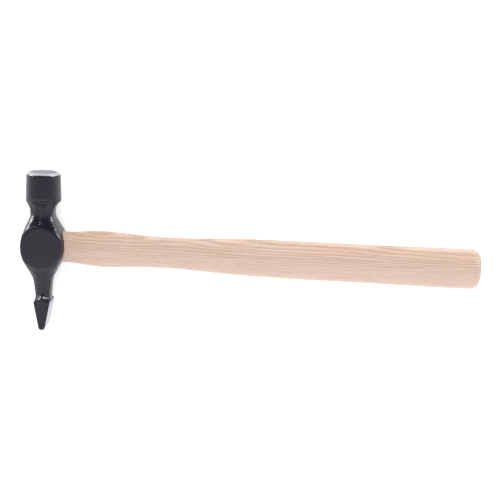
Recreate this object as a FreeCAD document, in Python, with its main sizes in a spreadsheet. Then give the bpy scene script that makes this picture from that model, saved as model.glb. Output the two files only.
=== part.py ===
import FreeCAD, Part

import math
import os

import Sketcher

# Cross peen hammer, lying on its side. Millimetres, +Z up.
# The origin is the centre of the flat cheek disc that the hammer rests on.
# +X runs along the handle, away from the head; +Y points to the striking face and -Y to the peen.
# The head's long axis and the handle's line both lie at the height of the sheet's mid_height.

SHEET = {
    # cheeks and boss around the eye
    "mid_height": 12.1,
    "cutter_length": 100.0,
    "spare": 1.0,
    "disc_radius": 13.95,
    "boss_edge_along": 11.0,
    "boss_edge_outer": 12.85,
    "boss_edge_handle": 13.0,
    "boss_round_outer": 27.0,
    "boss_round_handle": 21.0,
    "barrel_offset": 40.0,
    "skirt_knee": 17.0,
    "skirt_knee_height": 10.0,
    "skirt_hollow": 6.3,
    "corner_lean": 53.0,
    "corner_full": 18.5,
    "corner_full_along": 5.5,
    "corner_bend": 12.4,
    "corner_bend_along": 15.8,
    "corner_hollow": 16.0,
    "neck_hollow": 10.0,
    # striking poll
    "poll_base_along": 33.2,
    "poll_base_radius": 12.1,
    "rim_along": 49.9,
    "rim_radius": 11.7,
    "land_along": 51.7,
    "land_radius": 9.3,
    "face_crown": 0.3,
    "poll_break": 0.8,
    "poll_overlap": 2.0,
    # neck between the boss and the poll
    "waist_low_along": 23.5,
    "waist_high_along": 25.0,
    "waist_outer": 8.45,
    "waist_handle": 7.9,
    "waist_depth": 8.9,
    "waist_corner": 9.15,
    "draft_angle": 6.0,
    "flare_high_along": 19.0,
    "flare_high_outer": 9.2,
    "flare_high_handle": 8.5,
    "poll_side_along": 31.4,
    "poll_corner_along": 32.4,
    "poll_hollow": 9.8,
    # neck between the boss and the peen
    "stem_top_along": 25.5,
    "stem_top_half": 6.3,
    "stem_top_corner": 7.85,
    "flare_low_along": 21.5,
    "flare_low_half": 7.6,
    "stem_end_along": 37.0,
    "stem_end_half": 5.1,
    "stem_end_depth": 5.9,
    "stem_end_corner": 6.3,
    # peen
    "shoulder_along": 40.0,
    "shoulder_half": 5.8,
    "peen_half_width": 8.6,
    "arch_radius": 6.4,
    "arch_hollow": 5.0,
    "arch_floor": 5.6,
    "arch_centre_along": 42.6,
    "block_top_along": 30.0,
    "block_top_half": 4.8,
    "runout_hollow": 5.0,
    "runout_corner": 10.8,
    "runout_low_along": 39.4,
    "runout_high_along": 35.4,
    "runout_inset": 0.5,
    "tip_along": 60.2,
    "tip_half": 2.4,
    "tip_round": 2.0,
    # eye, oval and narrowest in the middle
    "eye_outer_tall": 10.4,
    "eye_outer_wide": 6.9,
    "eye_waist_tall": 9.2,
    "eye_waist_wide": 6.0,
    "eye_handle_tall": 10.0,
    "eye_handle_wide": 6.5,
    "tenon_recess": 1.0,
    # handle
    "handle_start": 10.0,
    "handle_end": 307.6,
    "handle_line_drop": 0.5,
    "handle_droop": 0.0205,
    "handle_bow": 0.0000255,
    "flat_root": 0.66,
    "flat_butt": 0.83,
    "handle_end_round": 6.0,
    # wedges
    "wood_wedge_depth": 21.0,
    "wood_wedge_butt": 2.8,
    "wood_wedge_toe": 0.8,
    "wood_wedge_tall": 16.4,
    "steel_wedge_depth": 15.0,
    "steel_wedge_butt": 2.4,
    "steel_wedge_toe": 0.5,
    "steel_wedge_wide": 9.6,
    "steel_wedge_spacing": 4.6,
}

# Half heights of the handle's sections, evenly spaced from its root inside the boss to the butt.
HANDLE_HEIGHTS = {
    "root": 11.5,
    "throat": 12.5,
    "swell": 12.05,
    "waist": 10.95,
    "rise": 11.7,
    "palm_front": 12.85,
    "palm": 13.4,
    "palm_back": 13.6,
    "grip_front": 13.65,
    "grip": 13.75,
    "grip_back": 14.0,
    "butt_front": 14.15,
    "butt": 14.2,
}

# Worked out from the cells above.
DERIVED = {
    "skirt_reach": "skirt_knee + sqrt(2 * (skirt_knee_height - waist_depth) * skirt_hollow"
                   " - (skirt_knee_height - waist_depth) ^ 2)",
    "arch_reach": "arch_radius + sqrt(2 * (peen_half_width - arch_floor) * arch_hollow"
                  " - (peen_half_width - arch_floor) ^ 2)",
    "handle_step": f"(handle_end - handle_start) / {len(HANDLE_HEIGHTS) - 1}",
    "boss_reach_outer": "boss_edge_outer + boss_round_outer"
                        " - sqrt(boss_round_outer ^ 2 - boss_edge_along ^ 2)",
    "boss_reach_handle": "boss_edge_handle + boss_round_handle"
                         " - sqrt(boss_round_handle ^ 2 - boss_edge_along ^ 2)",
}

doc = FreeCAD.newDocument("cross_peen_hammer")


def make_sheet():
    sheet = doc.addObject("Spreadsheet::Sheet", "dims")
    cells = dict(SHEET)
    for name, tall in HANDLE_HEIGHTS.items():
        cells[name + "_tall"] = tall
    for row, (alias, value) in enumerate(cells.items(), start=1):
        sheet.set(f"A{row}", alias)
        sheet.set(f"B{row}", str(value))
        sheet.setAlias(f"B{row}", alias)
    for alias, formula in DERIVED.items():
        row = len(cells) + 1
        cells[alias] = formula
        sheet.set(f"A{row}", alias)
        sheet.set(f"B{row}", "=" + formula)
        sheet.setAlias(f"B{row}", alias)
    doc.recompute()
    return sheet


sheet = make_sheet()
CELLS = len(SHEET) + len(HANDLE_HEIGHTS) + len(DERIVED)
ALIASES = {sheet.getAlias(f"B{row}") for row in range(1, 1 + CELLS)}


def named(expression):
    """The expression with each sheet alias written as the spreadsheet's own reference."""
    words = []
    word = ""
    for letter in expression + " ":
        if letter.isalnum() or letter == "_":
            word += letter
            continue
        words.append("dims." + word if word in ALIASES else word)
        words.append(letter)
        word = ""
    return "".join(words).strip()


def value(expression):
    result = sheet.evalExpression(named(expression))
    return float(getattr(result, "Value", result))


def outline(sketch, corners):
    """A closed outline of expressions. A corner is (x, y), or (x, y, radius) where an arc leads on
    to the next corner: a positive radius bulges to the left of the way there."""
    points = [FreeCAD.Vector(value(c[0]), value(c[1]), 0) for c in corners]
    ends = []
    for i, corner in enumerate(corners):
        start = points[i]
        stop = points[(i + 1) % len(points)]
        if len(corner) == 2:
            line = sketch.addGeometry(Part.LineSegment(start, stop))
            ends.append((line, 1, 2))
            continue
        radius = value(corner[2])
        chord = stop - start
        left = FreeCAD.Vector(-chord.y, chord.x, 0).normalize()
        rise = abs(radius) - math.sqrt(radius**2 - (chord.Length / 2) ** 2)
        middle = (start + stop) / 2 + left * math.copysign(rise, radius)
        arc = sketch.addGeometry(Part.Arc(start, middle, stop))
        ends.append((arc, 2, 1) if radius > 0 else (arc, 1, 2))
        name = f"round_{i}"
        sketch.addConstraint(Sketcher.Constraint("Radius", arc, abs(radius)))
        rename_and_bind(sketch, name, "abs(" + corner[2] + ")")
    for i, (edge, first, last) in enumerate(ends):
        following, start_end, _ = ends[(i + 1) % len(ends)]
        sketch.addConstraint(Sketcher.Constraint("Coincident", edge, last, following, start_end))
    for i, (edge, first, last) in enumerate(ends):
        sketch.addConstraint(Sketcher.Constraint("DistanceX", -1, 1, edge, first, points[i].x))
        rename_and_bind(sketch, f"across_{i}", corners[i][0])
        sketch.addConstraint(Sketcher.Constraint("DistanceY", -1, 1, edge, first, points[i].y))
        rename_and_bind(sketch, f"along_{i}", corners[i][1])


def rename_and_bind(sketch, name, expression):
    index = sketch.ConstraintCount - 1
    sketch.renameConstraint(index, name)
    if any(letter.isalpha() for letter in expression.replace("abs", "")):
        sketch.setExpression(f"Constraints.{name}", named(expression))


def placed(sketch, position=("0", "0", "0"), axis=(0, 0, 1), angle="0"):
    """Places an object: its position and its angle about the axis follow the sheet."""
    sketch.Placement = FreeCAD.Placement(FreeCAD.Vector(0, 0, 0), FreeCAD.Vector(*axis), 1)
    for letter, expression in zip("xyz", position):
        sketch.setExpression(f"Placement.Base.{letter}", named(expression))
    sketch.setExpression("Placement.Rotation.Angle", named(angle))
    return sketch


def loose_sketch(name, corners):
    sketch = doc.addObject("Sketcher::SketchObject", name)
    outline(sketch, corners)
    return sketch


def mirrored_run(half):
    """A closed outline from its right half, which runs upwards, and the same half mirrored."""
    left = []
    for i in range(len(half) - 1, -1, -1):
        corner = half[i]
        before = half[i - 1] if i else ()
        mirror = ("-(" + corner[0] + ")", corner[1])
        left.append(mirror + tuple(before[2:]))
    return list(half) + left


def extrusion(name, sketch, length):
    part = doc.addObject("Part::Extrusion", name)
    part.Base = sketch
    part.DirMode = "Normal"
    part.Solid = True
    part.Symmetric = True
    part.setExpression("LengthFwd", named(length))
    return part


def revolution(name, sketch, base, axis, angle=360):
    part = doc.addObject("Part::Revolution", name)
    part.Source = sketch
    part.Axis = FreeCAD.Vector(*axis)
    for letter, expression in zip("xyz", base):
        part.setExpression(f"Base.{letter}", named(expression))
    part.Angle = angle
    part.Solid = True
    return part


def joined(name, kind, parts):
    part = doc.addObject(f"Part::{kind}", name)
    part.Shapes = parts
    return part


def cut(name, base, tool):
    part = doc.addObject("Part::Cut", name)
    part.Base = base
    part.Tool = tool
    return part


AXIS_HEIGHT = ("0", "0", "mid_height")
TURN = (0, 1, 0)


def poll_part():
    """The round striking end: draft, ground bevel and a slightly crowned face."""
    profile = loose_sketch("poll_profile", [
        ("0", "poll_base_along - poll_break"),
        ("poll_base_radius - poll_break", "poll_base_along - poll_break"),
        ("poll_base_radius", "poll_base_along"),
        ("rim_radius", "rim_along"),
        ("land_radius", "land_along", "-(land_radius ^ 2 + face_crown ^ 2) / (2 * face_crown)"),
        ("0", "land_along + face_crown"),
    ])
    placed(profile, AXIS_HEIGHT)
    return revolution("poll", profile, AXIS_HEIGHT, (0, 1, 0))


def barrel_part(name, facing, side, inset="0"):
    """Everything within the boss's bulging side and the necks' sides, on one side of the head."""
    edge = f"boss_edge_{facing} - {inset}"
    run = [
        ("stem_end_half", "-stem_end_along"),
        ("stem_top_half", "-stem_top_along", "neck_hollow"),
        ("flare_low_half", "-flare_low_along"),
        (edge, "-boss_edge_along", "-boss_round_" + facing),
        (edge, "boss_edge_along"),
        ("flare_high_" + facing, "flare_high_along", "neck_hollow"),
        ("waist_" + facing, "waist_low_along"),
        ("waist_" + facing, "waist_high_along", "poll_hollow"),
        ("poll_base_radius", "poll_side_along"),
        ("poll_base_radius", "poll_base_along + poll_overlap"),
        ("-barrel_offset", "poll_base_along + poll_overlap"),
        ("-barrel_offset", "-stem_end_along"),
    ]
    profile = loose_sketch(name + "_profile", run)
    placed(profile, AXIS_HEIGHT, TURN, "0" if side > 0 else "180")
    base = ("-barrel_offset" if side > 0 else "barrel_offset", "0", "mid_height")
    return revolution(name, profile, base, (0, 1, 0))


def corner_part(name, angle):
    """Everything within one pair of the necks' slanting corner facets."""
    half = [
        ("stem_end_corner", "-stem_end_along"),
        ("stem_top_corner", "-stem_top_along", "corner_hollow"),
        ("corner_bend", "-corner_bend_along"),
        ("corner_full", "-corner_full_along"),
        ("corner_full", "corner_full_along"),
        ("corner_bend", "corner_bend_along", "corner_hollow"),
        ("waist_corner", "waist_low_along"),
        ("waist_corner", "waist_high_along", "poll_hollow"),
        ("poll_base_radius", "poll_corner_along"),
        ("poll_base_radius", "poll_base_along + poll_overlap"),
    ]
    profile = loose_sketch(name + "_profile", mirrored_run(half))
    placed(profile, AXIS_HEIGHT, TURN, angle)
    return extrusion(name, profile, "cutter_length")


def front_part(name, angle):
    """Everything within the necks' front and back facets, which slope down from the parting line."""
    half = [
        ("stem_end_depth", "-stem_end_along"),
        ("waist_depth", "-skirt_reach"),
        ("mid_height + 2 * spare", "-disc_radius + spare"),
        ("mid_height + 2 * spare", "disc_radius - spare"),
        ("waist_depth", "skirt_reach"),
        ("waist_depth", "waist_high_along", "poll_hollow"),
        ("poll_base_radius", "poll_base_along"),
        ("poll_base_radius", "poll_base_along + poll_overlap"),
    ]
    profile = loose_sketch(name + "_profile", mirrored_run(half))
    placed(profile, AXIS_HEIGHT, TURN, angle)
    return extrusion(name, profile, "cutter_length")


def envelope_part():
    """Keeps the upper facets' corners within the poll's round."""
    profile = loose_sketch("envelope_profile", [
        ("0", "-tip_along"),
        ("cutter_length / 2", "-tip_along"),
        ("cutter_length / 2", "skirt_reach"),
        ("poll_base_radius", "skirt_reach"),
        ("poll_base_radius", "rim_along"),
        ("0", "rim_along"),
    ])
    placed(profile, AXIS_HEIGHT)
    return revolution("envelope", profile, AXIS_HEIGHT, (0, 1, 0))


def slab_part():
    """The thickness of the head from one cheek disc to the other."""
    slab = doc.addObject("Part::Box", "slab")
    for side, length in (("Length", "cutter_length"), ("Width", "2 * cutter_length")):
        slab.setExpression(side, named(length))
    slab.setExpression("Height", named("2 * mid_height"))
    slab.setExpression("Placement.Base.x", named("-cutter_length / 2"))
    slab.setExpression("Placement.Base.y", named("-cutter_length"))
    return slab


def hollow_ring(name, slope, centre, turn):
    """A pair of rings that leave a slope round a flat disc, one for each cheek. The slope runs
    outwards and down through its points, and its last stretch is an arc of the hollow's radius."""
    *run, hollow, (reach, floor) = slope
    inner = run[0][0]
    rings = []
    for side in ("", "-"):
        down = [(along, side + "(" + height + ")") for along, height in run]
        down[-1] += (("-" if side == "" else "") + hollow,)
        corners = down + [
            (reach, side + "(" + floor + ")"),
            ("cutter_length / 2", side + "(" + floor + ")"),
            ("cutter_length / 2", side + "(mid_height + spare)"),
            (inner, side + "(mid_height + spare)"),
        ]
        label = name + ("_upper" if side == "" else "_lower")
        profile = loose_sketch(label + "_profile", corners)
        placed(profile, centre, (1, 0, 0), "90")
        rings.append(revolution(label, profile, centre, (0, 0, 1), turn))
    return joined(name, "MultiFuse", rings)


def trunk_part():
    """Boss and both necks: what the facets, barrels and cheeks enclose, less the boss's skirt."""
    bounds = [
        barrel_part("outer_barrel", "outer", -1),
        barrel_part("handle_barrel", "handle", 1),
        corner_part("corner_rising", "corner_lean"),
        corner_part("corner_falling", "-corner_lean"),
        front_part("front_rising", "90 - draft_angle"),
        front_part("front_falling", "90 + draft_angle"),
        envelope_part(),
        slab_part(),
    ]
    solid = joined("trunk_bounds", "MultiCommon", bounds)
    slope = [("disc_radius", "mid_height"), ("skirt_knee", "skirt_knee_height"), "skirt_hollow",
             ("skirt_reach", "waist_depth")]
    skirt = hollow_ring("skirt", slope, AXIS_HEIGHT, 360)
    return cut("trunk", solid, skirt)


def peen_part():
    """The wedge, with the arched top of each of its cheeks and the run-out into the neck."""
    half = [
        ("tip_half - tip_round", "-tip_along", "-tip_round"),
        ("tip_half", "-tip_along + tip_round"),
        ("shoulder_half", "-shoulder_along"),
        ("stem_end_half", "-stem_end_along"),
        ("block_top_half", "-block_top_along"),
    ]
    side = loose_sketch("peen_side_profile", mirrored_run(half))
    placed(side, AXIS_HEIGHT)
    block = extrusion("peen_block", side, "2 * peen_half_width")
    corner = [
        ("corner_full", "-cutter_length"),
        ("corner_full", "-arch_centre_along"),
        ("runout_corner", "-runout_low_along", "runout_hollow"),
        ("stem_end_corner - runout_inset", "-runout_high_along"),
        ("stem_end_corner - runout_inset", "-block_top_along"),
    ]
    bounds = [block]
    for name, angle in (("runout_rising", "45"), ("runout_falling", "-45")):
        profile = loose_sketch(name + "_profile", mirrored_run(corner))
        placed(profile, AXIS_HEIGHT, TURN, angle)
        bounds.append(extrusion(name, profile, "cutter_length"))
    solid = joined("peen_bounds", "MultiCommon", bounds)
    slope = [("arch_radius", "peen_half_width"), "arch_hollow", ("arch_reach", "arch_floor")]
    arch = hollow_ring("arch", slope, ("0", "-arch_centre_along", "mid_height"), 180)
    return cut("peen", solid, arch)


def forging_part():
    return joined("forging", "MultiFuse", [poll_part(), trunk_part(), peen_part()])


def oval_sketch(name, along, tall, wide, drop, turn="90"):
    """An oval across the handle's line: half its height and half its thickness are given."""
    sketch = doc.addObject("Sketcher::SketchObject", name)
    tall_now = value(tall)
    wide_now = value(wide)
    middle = FreeCAD.Vector(0, value("-(" + drop + ")"), 0)
    up = FreeCAD.Vector(0, tall_now, 0)
    over = FreeCAD.Vector(wide_now, 0, 0)
    oval = sketch.addGeometry(Part.Ellipse(middle + up, middle - over, middle))
    sketch.exposeInternalGeometry(oval)
    long_axis = oval + 1
    short_axis = oval + 2
    sketch.addConstraint(Sketcher.Constraint("Vertical", long_axis))
    sketch.addConstraint(Sketcher.Constraint("Distance", long_axis, 2 * tall_now))
    rename_and_bind(sketch, "tall", "2 * " + tall)
    sketch.addConstraint(Sketcher.Constraint("Distance", short_axis, 2 * wide_now))
    rename_and_bind(sketch, "wide", "2 * " + wide)
    sketch.addConstraint(Sketcher.Constraint("DistanceX", -1, 1, oval, 3, 0))
    sketch.addConstraint(Sketcher.Constraint("DistanceY", -1, 1, oval, 3, middle.y))
    rename_and_bind(sketch, "drop", "-(" + drop + ")")
    return placed(sketch, (along, "0", "mid_height"), TURN, turn)


def loft(name, sketches):
    part = doc.addObject("Part::Loft", name)
    part.Sections = sketches
    part.Solid = True
    part.Ruled = False
    return part


def eye_part():
    """The oval space through the boss: wide at both mouths and narrowest in the middle."""
    stations = [
        ("eye_outer", "-boss_reach_outer - spare", "eye_outer_tall", "eye_outer_wide"),
        ("eye_waist", "0", "eye_waist_tall", "eye_waist_wide"),
        ("eye_handle", "boss_reach_handle + spare", "eye_handle_tall", "eye_handle_wide"),
    ]
    return loft("eye", [oval_sketch(n, along, tall, wide, "0") for n, along, tall, wide in stations])


def blank_part():
    """The outside of the handle, from inside the boss to the butt's rounded edge."""
    sections = []
    gaps = len(HANDLE_HEIGHTS) - 1
    for i, name in enumerate(HANDLE_HEIGHTS):
        along = f"(handle_start + {i} * handle_step)"
        drop = f"handle_line_drop + handle_droop * {along} - handle_bow * {along} ^ 2"
        flat = f"(flat_root + (flat_butt - flat_root) * sqrt({i} / {gaps}))"
        sections.append(oval_sketch(name, along, name + "_tall", f"{name}_tall * {flat}", drop))
    blank = loft("blank", sections)
    doc.recompute()
    return rounded("rounded_blank", blank, "handle_end_round", at_butt)


def at_butt(edge):
    return edge.BoundBox.XMin > value("handle_end - spare")


def rounded(name, base, radius, chosen):
    """Rounds the chosen edges of the base."""
    part = doc.addObject("Part::Fillet", name)
    part.Base = base
    size = value(radius)
    part.Edges = [(i, size, size) for i, edge in enumerate(base.Shape.Edges, start=1) if chosen(edge)]
    return part


def wedge_body(name, run, plane, width, middle):
    """A driven wedge: a tapered outline and an even width."""
    body = doc.addObject("PartDesign::Body", name)
    sketch = body.newObject("Sketcher::SketchObject", name + "_taper")
    origin = next(o for o in body.Origin.OriginFeatures if o.Role == plane)
    sketch.AttachmentSupport = [(origin, "")]
    sketch.MapMode = "FlatFace"
    outline(sketch, run)
    pad = body.newObject("PartDesign::Pad", name + "_pad")
    pad.Profile = sketch
    pad.Midplane = True
    pad.setExpression("Length", named(width))
    for letter, expression in zip("xyz", middle):
        body.setExpression(f"Placement.Base.{letter}", named(expression))
    return body


def taper(butt, toe, depth):
    """A wedge's outline: its driven end just outside the boss, its toe deep in the eye."""
    outside = "-(boss_reach_outer + spare)"
    return [
        (outside, "-" + butt + " / 2"),
        (outside + " + " + depth, "-" + toe + " / 2"),
        (outside + " + " + depth, toe + " / 2"),
        (outside, butt + " / 2"),
    ]


def common(name, parts):
    return joined(name, "MultiCommon", parts)


forging = forging_part()
eye = eye_part()
head = cut("head", forging, eye)
tenon_end = barrel_part("tenon_end", "outer", -1, "tenon_recess")

steel = []
for side, sign in (("face", ""), ("peen", "-")):
    run = taper("steel_wedge_butt", "steel_wedge_toe", "steel_wedge_depth")
    body = wedge_body(f"steel_blank_{side}", run, "XY_Plane", "steel_wedge_wide",
                      ("0", sign + "steel_wedge_spacing", "mid_height"))
    steel.append(common(f"steel_wedge_{side}_side", [body, tenon_end]))
run = taper("wood_wedge_butt", "wood_wedge_toe", "wood_wedge_depth")
wood_blank = wedge_body("wood_blank", run, "XZ_Plane", "wood_wedge_tall", ("0", "0", "mid_height"))
wood_trimmed = common("wood_trimmed", [wood_blank, tenon_end])
steel_pair = joined("steel_pair", "MultiFuse", steel)
wooden_wedge = cut("wooden_wedge", wood_trimmed, steel_pair)

blank = blank_part()
shank = cut("shank", blank, forging)
tenon = common("tenon", [eye, tenon_end])
whole = joined("whole_handle", "MultiFuse", [shank, tenon])
wedges = joined("all_wedges", "MultiFuse", [wood_trimmed, steel_pair])
handle = cut("handle", whole, wedges)

subparts = [head, handle, wooden_wedge] + steel
doc.recompute()


def check(items, kept):
    """Stops unless the document is sound and each sub-part is one whole solid."""
    for item in items:
        if "Invalid" in item.State or "Error" in item.State:
            raise RuntimeError(f"{item.Name} failed: {item.State}")
    for item in kept:
        shape = item.Shape
        if shape.isNull() or not shape.isValid() or len(shape.Solids) != 1:
            raise RuntimeError(f"{item.Label} is not one valid solid")


check(doc.Objects, subparts)
os.makedirs("parts", exist_ok=True)
for item in subparts:
    item.Shape.exportStep(f"parts/{item.Label}.step")
    print(item.Label, round(item.Shape.Volume), "mm3")
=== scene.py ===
import math

import bmesh
import bpy
import numpy as np
from mathutils import Matrix, Vector


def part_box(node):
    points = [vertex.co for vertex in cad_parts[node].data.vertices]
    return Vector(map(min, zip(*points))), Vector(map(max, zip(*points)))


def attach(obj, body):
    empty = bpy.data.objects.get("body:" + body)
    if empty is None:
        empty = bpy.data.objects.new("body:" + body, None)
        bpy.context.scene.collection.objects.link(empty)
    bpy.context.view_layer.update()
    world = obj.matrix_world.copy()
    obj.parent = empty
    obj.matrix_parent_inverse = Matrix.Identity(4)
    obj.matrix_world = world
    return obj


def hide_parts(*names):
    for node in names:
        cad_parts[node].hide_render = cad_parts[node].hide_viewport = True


# Cross peen hammer lying on its side. Metres, in the CAD frame: +X along the handle, +Y towards
# the striking face, +Z up out of the upper cheek. The floor is z = 0.

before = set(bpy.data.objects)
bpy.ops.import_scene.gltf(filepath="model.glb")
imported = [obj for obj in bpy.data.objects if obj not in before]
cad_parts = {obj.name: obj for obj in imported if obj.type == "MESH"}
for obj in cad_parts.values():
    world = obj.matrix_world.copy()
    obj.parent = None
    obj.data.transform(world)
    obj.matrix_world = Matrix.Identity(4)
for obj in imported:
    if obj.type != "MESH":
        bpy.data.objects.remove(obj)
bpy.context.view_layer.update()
MM = 0.001

head_low, head_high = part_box("head")
MID_HEIGHT = (head_low.z + head_high.z) / 2
FACE = head_high.y
RIM = FACE - 2.1 * MM                   # where the face's bevel meets the poll's side
POLL_BASE = FACE - 18.8 * MM            # where the poll meets its neck
SHOULDER = head_low.y + 20.2 * MM       # where the peen's bright slopes start
DISC_RADIUS = 13.95 * MM                # the flat disc on each cheek


# ---------------------------------------------------------------- the forged head

VOXEL = 0.35 * MM
CRISP_ROUNDS = 4            # rounds of relaxing that only even out the voxels
RIDGE_ROUNDS = 9            # rounds that soften the ridges
FLANK_ROUNDS = 40           # rounds that blend the boss's shoulders
RELAXING = 0.5              # the share of the way to its neighbours that a point moves in a round

# Heights of the forging's unevenness, in millimetres.
WAVE_HEIGHT = 0.04
SCALE_HEIGHT = 0.012
SMOOTH_HEIGHT = 0.004
FLASH_HEIGHT = 0.40


def remeshed(source, name):
    """A copy of a CAD node as one even mesh of small quads, fine enough to soften its edges."""
    mesh = source.data.copy()
    form = bmesh.new()
    form.from_mesh(mesh)
    bmesh.ops.remove_doubles(form, verts=form.verts, dist=0.001 * MM)
    form.to_mesh(mesh)
    form.free()
    coarse = bpy.data.objects.new(name + "_coarse", mesh)
    bpy.context.scene.collection.objects.link(coarse)
    remesh = coarse.modifiers.new("even_quads", "REMESH")
    remesh.mode = "VOXEL"
    remesh.voxel_size = VOXEL
    remesh.use_smooth_shade = True
    depsgraph = bpy.context.evaluated_depsgraph_get()
    fine = bpy.data.meshes.new_from_object(coarse.evaluated_get(depsgraph))
    bpy.data.objects.remove(coarse)
    piece = bpy.data.objects.new(name, fine)
    bpy.context.scene.collection.objects.link(piece)
    return piece


def rows_of(items, field, width, kind):
    """A field of mesh items, such as its vertices' places, as an array with a row for each item."""
    flat = np.zeros(len(items) * width, kind)
    items.foreach_get(field, flat)
    return flat.reshape(-1, width)


def points_of(mesh):
    return rows_of(mesh.vertices, "co", 3, np.float32).astype(np.float64)


def normals_of(mesh):
    return rows_of(mesh.vertex_normals, "vector", 3, np.float32).astype(np.float64)


def edges_of(mesh):
    return rows_of(mesh.edges, "vertices", 2, np.int32)


def rise(value, low, high):
    """0 below low, 1 above high, and smooth between them."""
    t = np.clip((value - low) / (high - low), 0, 1)
    return t * t * (3 - 2 * t)


def relaxed(points, edges, strength, rounds):
    """The points moved towards the middle of their neighbours, each by its own strength."""
    start, stop = edges.T
    count = len(points)
    neighbours = np.bincount(start, minlength=count) + np.bincount(stop, minlength=count)
    for _ in range(rounds):
        total = np.empty_like(points)
        for axis in range(3):
            near = np.bincount(start, points[stop, axis], count)
            total[:, axis] = near + np.bincount(stop, points[start, axis], count)
        middle = total / neighbours[:, None]
        points = points + strength[:, None] * (middle - points)
    return points


def forged_waves(points, shortest, longest, seed):
    """Smooth unevenness, mostly between -1 and 1: waves of many directions and lengths added up."""
    dice = np.random.default_rng(seed)
    waves = 28
    height = np.zeros(len(points))
    for _ in range(waves):
        direction = dice.normal(size=3)
        direction /= np.linalg.norm(direction)
        length = dice.uniform(shortest, longest)
        height += np.sin(points @ direction * (2 * math.pi / length) + dice.uniform(0, 2 * math.pi))
    return height / math.sqrt(waves)


def flash_line(points):
    """How near each point is to the line that the dies left, from 0 to 1. It runs down the middle of
    both necks and hooks round each cheek disc on the side away from the handle."""
    x, y = points[:, 0], points[:, 1]
    reach = np.hypot(x, y)
    necks = rise(np.abs(y), DISC_RADIUS + 1.0 * MM, DISC_RADIUS + 2.5 * MM)
    necks = necks * (y < POLL_BASE) * (y > SHOULDER + 6 * MM)
    straight = np.exp(-(x / (0.45 * MM)) ** 2) * necks
    hook = np.exp(-((reach - DISC_RADIUS - 0.9 * MM) / (0.4 * MM)) ** 2)
    hook = hook * rise(-x, -0.5 * MM, 0.5 * MM) * rise(np.abs(y), 7 * MM, 10 * MM)
    return np.maximum(straight, hook)


def flanks(points):
    """1 on the boss's shoulders, which sweep out from the discs on the poll's side, and 0 elsewhere."""
    reach = np.hypot(points[:, 0], points[:, 1])
    outside = rise(reach, DISC_RADIUS + 0.6 * MM, DISC_RADIUS + 1.8 * MM)
    shoulders = rise(points[:, 1], 7 * MM, 9 * MM) * rise(-points[:, 1], -24 * MM, -21 * MM)
    return outside * shoulders


def add_attribute(mesh, name, values):
    layer = mesh.attributes.new(name, "FLOAT", "POINT")
    layer.data.foreach_set("value", values.astype(np.float32))


def move_points(mesh, points):
    mesh.vertices.foreach_set("co", points.astype(np.float32).ravel())
    mesh.update()


def softened(points, edges):
    """The points before and after the ridges are softened. The ground face and its bevel stay crisp."""
    ground_end = rise(points[:, 1], RIM - 1.5 * MM, RIM - 0.5 * MM)
    crisp = relaxed(points, edges, RELAXING * np.ones(len(points)), CRISP_ROUNDS)
    soft = relaxed(crisp, edges, RELAXING * (1 - ground_end), RIDGE_ROUNDS)
    soft = relaxed(soft, edges, RELAXING * flanks(soft), FLANK_ROUNDS)
    return crisp, soft


def forged_head():
    """The head with its ridges softened, its die-forged faces a little uneven and its others nearly flat."""
    piece = remeshed(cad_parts["head"], "forged_head")
    mesh = piece.data
    crisp, points = softened(points_of(mesh), edges_of(mesh))
    move_points(mesh, points)
    normals = normals_of(mesh)

    ridge = np.einsum("ij,ij->i", crisp - points, normals) / MM     # what the softening took off
    reach = np.hypot(points[:, 0], points[:, 1])
    height = np.abs(points[:, 2] - MID_HEIGHT)
    cheek = rise(np.abs(normals[:, 2]), 0.97, 0.995) * (reach < DISC_RADIUS)
    poll = rise(points[:, 1], POLL_BASE - 1.5 * MM, POLL_BASE + 0.5 * MM)
    along_face = rise(points[:, 1], RIM - 0.15 * MM, RIM + 0.15 * MM)
    below_shoulder = rise(-points[:, 1], -SHOULDER - 0.2 * MM, -SHOULDER + 0.4 * MM)
    slanted = rise(1 - np.abs(normals[:, 2]), 0.5, 0.75)
    bright = np.maximum(along_face, below_shoulder * slanted)
    peen_cheek = below_shoulder * (1 - slanted)
    rough = (1 - cheek) * (1 - poll) * (1 - bright) * (1 - peen_cheek)

    broad = forged_waves(points, shortest=5 * MM, longest=12 * MM, seed=3)
    fine = forged_waves(points, shortest=1.6 * MM, longest=3.2 * MM, seed=11)
    lift = rough * (WAVE_HEIGHT * broad + SCALE_HEIGHT * fine) + (1 - rough) * SMOOTH_HEIGHT * broad
    flash = flash_line(points) * rise(height, 0.3 * MID_HEIGHT, 0.5 * MID_HEIGHT)
    lift = lift + FLASH_HEIGHT * flash * (1 - cheek)
    points = points + normals * (lift * MM)[:, None]
    points[:, 2] = np.clip(points[:, 2], head_low.z, head_high.z)
    move_points(mesh, points)

    add_attribute(mesh, "bright", bright)
    add_attribute(mesh, "ridge", ridge)
    add_attribute(mesh, "forged", rough)
    # The flat striking face, which the material paints much darker than its bevel: painted shade on its
    # reflection.
    add_attribute(mesh, "painted_dark_face", rise(normals[:, 1], 0.85, 0.95) * along_face)
    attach(piece, "root")
    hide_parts("head")
    return piece


# ---------------------------------------------------------------- materials

# The Mix node's sockets: its pair of numbers, its pair of colours and the mixed colour.
FIRST_NUMBER, SECOND_NUMBER = 2, 3
FIRST_COLOUR, SECOND_COLOUR = 6, 7
MIXED_COLOUR = 2


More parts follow.
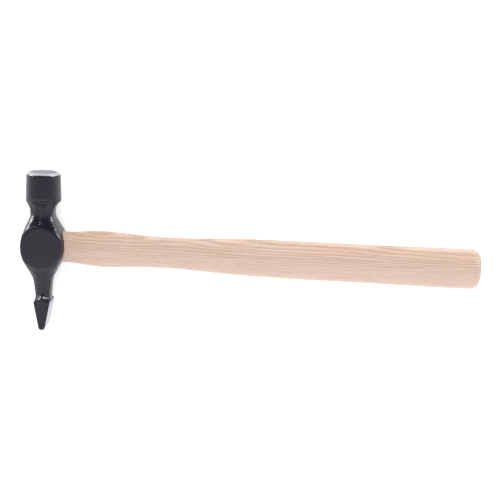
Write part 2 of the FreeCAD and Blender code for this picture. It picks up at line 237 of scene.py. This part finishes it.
class Shader:
    """A material, with short calls for the nodes that it is built from."""

    def __init__(self, name):
        self.material = bpy.data.materials.new(name)
        self.material.use_nodes = True
        self.tree = self.material.node_tree
        self.surface = next(n for n in self.tree.nodes if n.type == "BSDF_PRINCIPLED")
        place = self.tree.nodes.new("ShaderNodeTexCoord")
        self.millimetres = self.scaled(place.outputs["Object"], (1 / MM, 1 / MM, 1 / MM))

    def put(self, socket, value):
        if isinstance(value, bpy.types.NodeSocket):
            self.tree.links.new(value, socket)
        else:
            socket.default_value = value

    def node(self, kind, inputs, output=0, **settings):
        made = self.tree.nodes.new("ShaderNode" + kind)
        for name, value in settings.items():
            setattr(made, name, value)
        for name, value in inputs.items():
            self.put(made.inputs[name], value)
        return made.outputs[output]

    def scaled(self, vector, factors):
        return self.node("VectorMath", {0: vector, 1: factors}, operation="MULTIPLY")

    def maths(self, operation, first, second=0.0):
        return self.node("Math", {0: first, 1: second}, operation=operation)

    def times(self, value, factor):
        return self.maths("MULTIPLY", value, factor)

    def noise(self, vector, size, detail=3.0, roughness=0.5):
        """Noise with features of about that size in millimetres, given along each axis or for all."""
        stretch = size if isinstance(size, tuple) else (size, size, size)
        place = self.scaled(vector, tuple(1 / s for s in stretch))
        inputs = {"Vector": place, "Scale": 1.0, "Detail": detail, "Roughness": roughness}
        return self.node("TexNoise", inputs)

    def span(self, value, low, high, bottom=0.0, top=1.0):
        """The value's way from low to high, as a smooth number from bottom to top."""
        ends = {"Value": value, "From Min": low, "From Max": high, "To Min": bottom, "To Max": top}
        return self.node("MapRange", ends, interpolation_type="SMOOTHSTEP")

    def blend(self, amount, first, second):
        """The first colour where amount is 0, the second where it is 1."""
        made = self.tree.nodes.new("ShaderNodeMix")
        made.data_type = "RGBA"
        self.put(made.inputs["Factor"], amount)
        self.put(made.inputs[FIRST_COLOUR], first)
        self.put(made.inputs[SECOND_COLOUR], second)
        return made.outputs[MIXED_COLOUR]

    def between(self, amount, first, second):
        """The first number where amount is 0, the second where it is 1."""
        return self.node("Mix", {"Factor": amount, FIRST_NUMBER: first, SECOND_NUMBER: second})

    def attribute(self, name):
        """A number that the mesh holds for each of its points."""
        return self.node("Attribute", {}, output="Fac", attribute_name=name)

    def bump(self, height, depth, below=None):
        """A height from 0 to 1 as relief that many millimetres deep."""
        inputs = {"Height": height, "Strength": 1.0, "Distance": depth * MM}
        if below is not None:
            inputs["Normal"] = below
        return self.node("Bump", inputs)

    def finish(self, **inputs):
        for name, value in inputs.items():
            self.put(self.surface.inputs[name.replace("_", " ")], value)
        return self.material


def colour(red, green, blue):
    return (red, green, blue, 1.0)


def head_material():
    """Black lacquer over forged steel, with bare ground steel on the face and on the peen's slopes."""
    shader = Shader("black_lacquer_and_ground_steel")
    place = shader.millimetres
    forged = shader.attribute("forged")

    mottle = shader.noise(place, 4.0, 4.0)
    lacquer = shader.blend(mottle, colour(0.005, 0.005, 0.011), colour(0.010, 0.009, 0.018))
    # Lighter grey lacquer on the sharp ridges: thinner lacquer there, and partly a painted edge highlight
    # along them.
    thin_coat_and_edge_highlight = shader.span(shader.attribute("ridge"), 0.10, 0.30)
    lacquer = shader.blend(shader.times(thin_coat_and_edge_highlight, 0.25), lacquer, colour(0.16, 0.155, 0.16))

    chips = shader.noise(place, 0.8, 2.0)
    edge = shader.maths("ADD", shader.attribute("bright"), shader.times(chips, 0.3))
    bare = shader.span(edge, 0.6, 0.72)
    grinding = shader.noise(place, (0.25, 6.0, 0.25), 3.0, 0.6)
    steel = shader.blend(grinding, colour(0.38, 0.38, 0.385), colour(0.52, 0.52, 0.53))
    # Painted shade: the flat striking face gets a far darker steel than its bevel, so that what it reflects
    # reads dim.
    steel = shader.blend(shader.attribute("painted_dark_face"), steel, colour(0.135, 0.132, 0.132))

    satin = shader.noise(place, 1.2, 3.0)
    smooth_gloss = shader.span(satin, 0.3, 0.7, 0.24, 0.34)
    scaly_gloss = shader.span(satin, 0.3, 0.7, 0.24, 0.38)
    lacquer_gloss = shader.between(forged, smooth_gloss, scaly_gloss)
    steel_gloss = shader.span(grinding, 0.3, 0.7, 0.20, 0.38)
    roughness = shader.between(bare, lacquer_gloss, steel_gloss)

    pits = shader.noise(place, 1.5, 3.0)
    peel = shader.noise(place, 0.45, 1.0)
    pit_depth = shader.maths("MULTIPLY", pits, forged)
    relief = shader.bump(pit_depth, 0.16)
    relief = shader.bump(peel, 0.004, relief)
    relief = shader.bump(shader.maths("MULTIPLY", grinding, bare), 0.01, relief)
    return shader.finish(Base_Color=shader.blend(bare, lacquer, steel), Metallic=bare,
                         Roughness=roughness, Normal=relief, Specular_Tint=colour(0.94, 0.91, 1.0))


RING_WIDTH = 1.75       # millimetres of growth in a year


def early_wood(shader, along, across, up):
    """How much porous early wood there is, from 0 to 1: a band in each of the growth rings, which
    lie nearly along the handle and wander by the noises' heights in millimetres."""
    drift = shader.noise(shader.millimetres, (150.0, 30.0, 30.0), 1.0)
    sway = shader.noise(shader.millimetres, (38.0, 9.0, 9.0), 2.0)
    ripple = shader.noise(shader.millimetres, (6.0, 2.5, 2.5), 1.0)
    growth = across
    for wander, height in ((drift, 4.0), (sway, 1.8), (ripple, 0.5)):
        growth = shader.maths("ADD", growth, shader.times(wander, height))
    growth = shader.maths("ADD", growth, shader.times(along, 0.012))
    growth = shader.maths("ADD", growth, shader.times(up, 0.35))
    year = shader.maths("FRACT", shader.times(growth, 1 / RING_WIDTH))
    return shader.maths("MULTIPLY", shader.span(year, 0.0, 0.25), shader.span(year, 0.7, 0.25))


def ash_material():
    """Raw sanded ash: growth rings with porous early wood, long fibres and a slow change of tone."""
    shader = Shader("raw_ash")
    place = shader.millimetres
    parts = shader.tree.nodes.new("ShaderNodeSeparateXYZ")
    shader.put(parts.inputs[0], place)
    along, across, up = parts.outputs
    early = early_wood(shader, along, across, up)

    fibre = shader.noise(place, (22.0, 0.35, 0.35), 3.0, 0.6)
    streak = shader.noise(place, (60.0, 1.0, 1.0), 2.0)
    tone = shader.noise(place, (120.0, 4.0, 4.0), 1.0)
    pale = shader.blend(fibre, colour(0.80, 0.61, 0.48), colour(0.71, 0.51, 0.39))
    pink = shader.blend(shader.span(tone, 0.35, 0.65), pale, colour(0.75, 0.575, 0.50))
    streaks = shader.times(shader.span(streak, 0.35, 0.65), 0.7)
    warm = shader.blend(streaks, pink, colour(0.59, 0.40, 0.29))
    wood = shader.blend(shader.times(early, 0.58), warm, colour(0.50, 0.335, 0.25))
    # Painted light: the wood is made paler and pinker towards the handle's −Y edge, standing in for more
    # light on that side.
    painted_light_towards_minus_y = shader.span(across, 6.0, -12.0)
    wood = shader.blend(shader.times(painted_light_towards_minus_y, 0.55), wood, colour(0.80, 0.625, 0.56))
    # Darker towards the head, fading out 60 mm from the head's middle.
    darker_next_to_head = shader.span(along, 60.0, 10.0)
    wood = shader.blend(shader.times(darker_next_to_head, 0.3), wood, colour(0.52, 0.375, 0.28))

    vessels = shader.noise(place, (5.0, 0.30, 0.30), 1.0)
    pores = shader.maths("MULTIPLY", shader.span(vessels, 0.57, 0.66), early)
    wood = shader.blend(shader.times(pores, 0.5), wood, colour(0.30, 0.19, 0.13))

    relief = shader.bump(fibre, 0.02)
    relief = shader.bump(shader.maths("SUBTRACT", 1.0, pores), 0.03, relief)
    roughness = shader.span(fibre, 0.3, 0.7, 0.46, 0.60)
    return shader.finish(Base_Color=wood, Roughness=roughness, Normal=relief, Specular_IOR_Level=0.22)


def wedge_wood_material():
    """A darker close-grained hardwood, sawn across at its visible end."""
    shader = Shader("wedge_hardwood")
    place = shader.millimetres
    fibre = shader.noise(place, (9.0, 0.3, 0.3), 3.0, 0.6)
    figure = shader.noise(place, (14.0, 1.2, 1.2), 2.0)
    wood = shader.blend(fibre, colour(0.30, 0.16, 0.085), colour(0.20, 0.10, 0.05))
    wood = shader.blend(shader.times(figure, 0.5), wood, colour(0.40, 0.24, 0.13))
    return shader.finish(Base_Color=wood, Roughness=shader.span(fibre, 0.3, 0.7, 0.5, 0.7),
                         Normal=shader.bump(fibre, 0.05))


def wedge_steel_material():
    """Stamped mild steel, scuffed by the blows that drove it in."""
    shader = Shader("wedge_steel")
    place = shader.millimetres
    scuffs = shader.noise(place, (0.3, 2.0, 0.3), 3.0, 0.6)
    stain = shader.noise(place, 1.6, 3.0)
    steel = shader.blend(scuffs, colour(0.50, 0.50, 0.51), colour(0.66, 0.66, 0.67))
    steel = shader.blend(shader.times(stain, 0.35), steel, colour(0.26, 0.22, 0.19))
    return shader.finish(Base_Color=steel, Metallic=1.0, Roughness=shader.span(scuffs, 0.3, 0.7, 0.3, 0.5),
                         Normal=shader.bump(scuffs, 0.03))


def dress(piece, material):
    """The material in every slot of the piece."""
    if not piece.data.materials:
        piece.data.materials.append(material)
    for i in range(len(piece.data.materials)):
        piece.data.materials[i] = material


# ---------------------------------------------------------------- floor, light and camera

LAMP_DISTANCE = 1.2
HIGHLIGHT_RADIANCE = 34.0
FILL_RADIANCE = 4.2


def pale_floor():
    """A white table top that the hammer lies on."""
    half = 6.0
    corners = [(-half, -half, 0), (half, -half, 0), (half, half, 0), (-half, half, 0)]
    mesh = bpy.data.meshes.new("floor")
    mesh.from_pydata(corners, [], [(0, 1, 2, 3)])
    floor = bpy.data.objects.new("floor", mesh)
    bpy.context.scene.collection.objects.link(floor)
    shader = Shader("white_table")
    material = shader.finish(Base_Color=colour(0.88, 0.88, 0.88), Roughness=0.9,
                             Emission_Color=colour(1, 1, 1), Emission_Strength=0.5)
    dress(floor, material)


def white_room():
    """Soft white light from all round, brighter on the peen's side and dimmer over the face's."""
    world = bpy.data.worlds.new("white_room")
    world.use_nodes = True
    bpy.context.scene.world = world
    tree = world.node_tree
    background = tree.nodes["Background"]
    background.inputs["Color"].default_value = colour(1.0, 1.0, 1.0)
    direction = tree.nodes.new("ShaderNodeTexCoord")
    parts = tree.nodes.new("ShaderNodeSeparateXYZ")
    glow = tree.nodes.new("ShaderNodeMapRange")
    glow.interpolation_type = "SMOOTHSTEP"
    for name, value in (("From Min", -0.45), ("From Max", 0.30), ("To Min", 1.35), ("To Max", 0.08)):
        glow.inputs[name].default_value = value
    seen = tree.nodes.new("ShaderNodeLightPath")
    pale = tree.nodes.new("ShaderNodeMix")
    pale.inputs["B"].default_value = 1.0
    tree.links.new(direction.outputs["Generated"], parts.inputs[0])
    tree.links.new(parts.outputs["Y"], glow.inputs["Value"])
    tree.links.new(seen.outputs["Is Camera Ray"], pale.inputs["Factor"])
    tree.links.new(glow.outputs[0], pale.inputs["A"])
    tree.links.new(pale.outputs[0], background.inputs["Strength"])


def softbox(name, towards, size, radiance, gives):
    """A rectangular lamp that faces the head from the direction given. It gives either highlights
    or soft fill, never both."""
    lamp = bpy.data.lights.new(name, "AREA")
    lamp.shape = "RECTANGLE"
    lamp.size, lamp.size_y = size
    lamp.energy = radiance * size[0] * size[1] * math.pi
    lamp_object = bpy.data.objects.new(name, lamp)
    bpy.context.scene.collection.objects.link(lamp_object)
    direction = Vector(towards).normalized()
    lamp_object.location = Vector((0, 0, MID_HEIGHT)) + direction * LAMP_DISTANCE
    lamp_object.rotation_mode = "QUATERNION"
    lamp_object.rotation_quaternion = direction.to_track_quat("Z", "Y")
    lamp_object.visible_camera = False
    lamp_object.visible_diffuse = gives == "fill"
    lamp_object.visible_glossy = gives == "highlights"


def add_camera():
    """Nearly straight above the hammer, leaning towards the striking face's side."""
    lean = math.radians(12.344)
    turn = math.radians(-1.171)
    roll = math.radians(2.754)
    distance = 0.6336
    aim = Vector((0.1447, 0.0026, MID_HEIGHT))
    back = Vector((math.sin(turn) * math.cos(lean), math.sin(lean), math.cos(turn) * math.cos(lean)))
    right = Vector((0, 1, 0)).cross(back).normalized()
    up = back.cross(right)
    across = right * math.cos(roll) + up * math.sin(roll)
    upward = up * math.cos(roll) - right * math.sin(roll)
    camera = bpy.data.cameras.new("camera")
    camera.sensor_width = 36.0
    camera.lens = 64.8
    camera.clip_start = 0.01
    camera.clip_end = 20.0
    holder = bpy.data.objects.new("camera", camera)
    bpy.context.scene.collection.objects.link(holder)
    turned = Matrix((across, upward, back)).transposed().to_4x4()
    holder.matrix_world = Matrix.Translation(aim + back * distance) @ turned
    bpy.context.scene.camera = holder


add_camera()
pale_floor()
white_room()
softbox("left_box", (-0.90, 0.42, 0.13), (0.48, 0.30), HIGHLIGHT_RADIANCE, "highlights")
softbox("right_box", (0.88, 0.46, 0.13), (0.44, 0.30), HIGHLIGHT_RADIANCE, "highlights")
softbox("face_fill", (0.15, 0.80, 0.58), (1.2, 0.8), FILL_RADIANCE, "fill")

scene = bpy.context.scene
scene.view_settings.view_transform = "Standard"
scene.view_settings.look = "None"

head = forged_head()
dress(head, head_material())
dress(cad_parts["handle"], ash_material())
dress(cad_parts["wooden_wedge"], wedge_wood_material())
bare_steel = wedge_steel_material()
for wedge in ("steel_wedge_face_side", "steel_wedge_peen_side"):
    dress(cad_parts[wedge], bare_steel)
